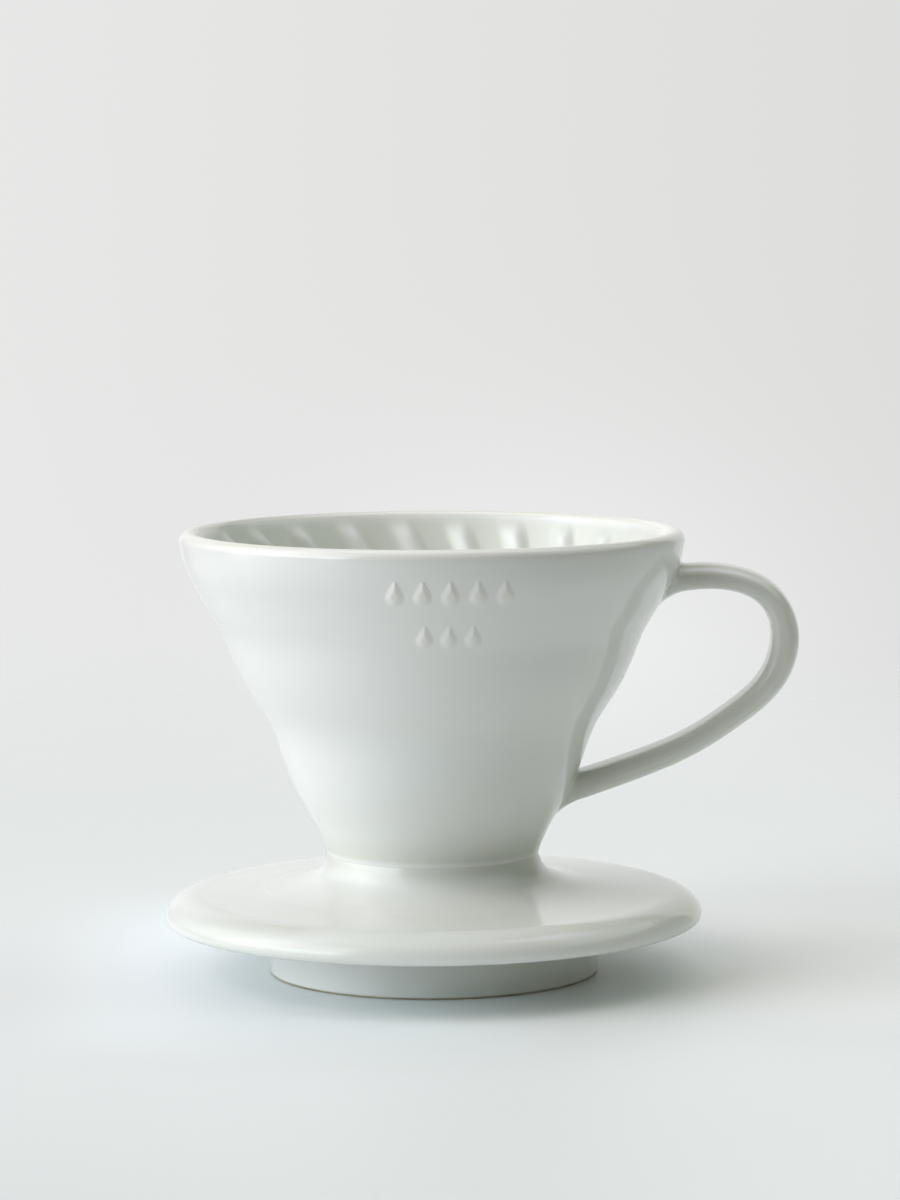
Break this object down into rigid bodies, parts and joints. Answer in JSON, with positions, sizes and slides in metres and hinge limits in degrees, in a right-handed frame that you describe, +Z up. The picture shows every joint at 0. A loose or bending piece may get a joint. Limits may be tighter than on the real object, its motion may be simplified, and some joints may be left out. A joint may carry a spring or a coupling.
{
  "type": "pour over dripper",
  "caption": "Glazed porcelain pour over coffee dripper: a ribbed filter cone on a round saucer with a foot ring and a strap handle.",
  "frame": {"origin": "on the table, under the middle of the whole outline between the saucer's edge and the handle's bend; the cone's own axis is 9 mm towards -X from it", "axes": "+X towards the handle, +Z up along the cone's axis, +Y to the side"},
  "size_m": [0.118, 0.1, 0.0825],
  "materials": {
    "white_glaze": "polished",
    "bare_porcelain": "matte"
  },
  "bodies": {
    "root": {"filter_cone": "white_glaze", "saucer": "white_glaze", "foot_ring": "white_glaze", "handle": "white_glaze"}
  },
  "joints": []
}
